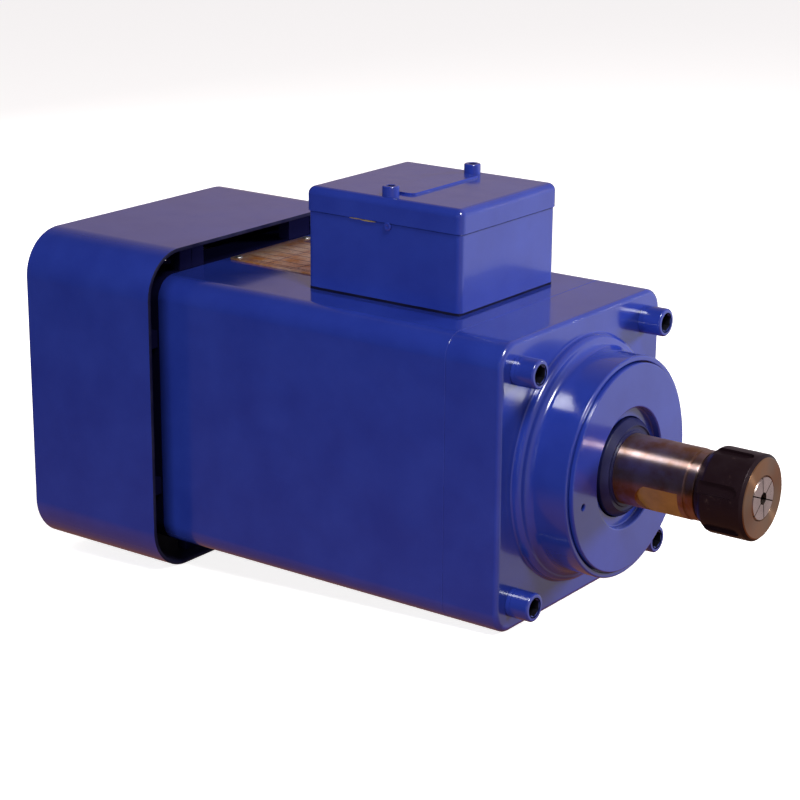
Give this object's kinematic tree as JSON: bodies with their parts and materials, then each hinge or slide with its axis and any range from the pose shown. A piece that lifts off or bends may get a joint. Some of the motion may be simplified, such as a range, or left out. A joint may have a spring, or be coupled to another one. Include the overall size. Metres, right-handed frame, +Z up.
{
  "type": "motor spindle",
  "caption": "Square fan-cooled motor spindle with a terminal box on top and a collet nose with clamping nut for shank tools.",
  "frame": {"origin": "on the spindle axis, in the plane of the front rim of the front end shield's round boss", "axes": "+X along the spindle axis towards the nose, +Z up through the terminal box, +Y to the side with the cable gland"},
  "size_m": [0.3973, 0.175, 0.2146],
  "materials": {
    "blue_paint": "glossy royal blue enamel over cast and sheet metal",
    "zinc_steel": "bright zinc plate",
    "brass": "bare machined",
    "nickel_brass": "nickel plated",
    "black_rubber": "matt",
    "black_plastic": "moulded, matt",
    "lead_sleeve": "woven sleeve, varnished",
    "lamination_steel": "stacked sheet, oiled",
    "copper_winding": "enamelled copper wire, varnished",
    "cast_aluminium": "as cast",
    "ground_steel": "cylindrically ground, bright",
    "dark_steel": "blued",
    "bearing_steel": "polished",
    "cage_plastic": "moulded polyamide",
    "plate_metal": "thin plate, satin, blank",
    "collet_steel": "ground and polished",
    "black_oxide": "black oxide on the outside, bare ground front face"
  },
  "bodies": {
    "motor_body": {"housing": "blue_paint", "front_end_shield": "blue_paint", "rear_end_shield": "blue_paint", "front_cover": "blue_paint", "front_shield_screws": "blue_paint", "front_lock_washers": "blue_paint", "fan_cowl": "blue_paint", "terminal_box": "blue_paint", "lid": "blue_paint", "lid_screws": "blue_paint", "rear_shield_screws": "zinc_steel", "cowl_screws": "zinc_steel", "cowl_standoffs": "zinc_steel", "box_screws": "zinc_steel", "earth_screw": "brass", "terminal_studs": "brass", "terminal_links": "brass", "cable_gland": "nickel_brass", "gland_nut": "nickel_brass", "gland_locknut": "nickel_brass", "gland_seal": "black_rubber", "box_gasket": "black_rubber", "lid_gasket": "black_rubber", "terminal_board": "black_plastic", "winding_leads": "lead_sleeve", "stator_core": "lamination_steel", "stator_windings": "copper_winding", "front_bearing_outer_rings": "bearing_steel", "rear_bearing_outer_ring": "bearing_steel", "preload_spring": "dark_steel", "rating_plate": "plate_metal", "plate_rivets": "cast_aluminium"},
    "spindle": {"spindle_shaft": "ground_steel", "labyrinth_ring": "dark_steel", "rotor_core": "lamination_steel", "rotor_end_rings": "cast_aluminium", "front_bearing_inner_rings": "bearing_steel", "rear_bearing_inner_ring": "bearing_steel", "cooling_fan": "black_plastic", "fan_key": "zinc_steel", "fan_clip": "dark_steel"},
    "front_cages": {"front_bearing_cages": "cage_plastic", "front_bearing_balls": "bearing_steel"},
    "rear_cage": {"rear_bearing_cage": "cage_plastic", "rear_bearing_balls": "bearing_steel"},
    "collet_body": {"collet": "collet_steel"},
    "nut_body": {"clamping_nut": "black_oxide", "nut_ring": "dark_steel"}
  },
  "joints": [
    {"name": "spindle_spin", "type": "hinge", "parent": "motor_body", "child": "spindle", "pos_m": [0, 0, 0], "axis": [1, 0, 0], "continuous": true},
    {"name": "front_cage_spin", "type": "hinge", "parent": "motor_body", "child": "front_cages", "pos_m": [0, 0, 0], "axis": [1, 0, 0], "continuous": true},
    {"name": "rear_cage_spin", "type": "hinge", "parent": "motor_body", "child": "rear_cage", "pos_m": [-0.247, 0, 0], "axis": [1, 0, 0], "continuous": true},
    {"name": "collet_slide", "type": "slide", "parent": "spindle", "child": "collet_body", "axis": [1, 0, 0], "range_m": [0, 0.0181]},
    {"name": "nut_turn", "type": "hinge", "parent": "collet_body", "child": "nut_body", "pos_m": [0.06, 0, 0], "axis": [1, 0, 0], "range_deg": [0, 4320]}
  ],
  "couplings": [
    {"joint": "front_cage_spin", "follows": "spindle_spin", "ratio": 0.4042},
    {"joint": "rear_cage_spin", "follows": "spindle_spin", "ratio": 0.3965},
    {"joint": "collet_slide", "follows": "nut_turn", "m_per_rad": 0.00023873}
  ]
}
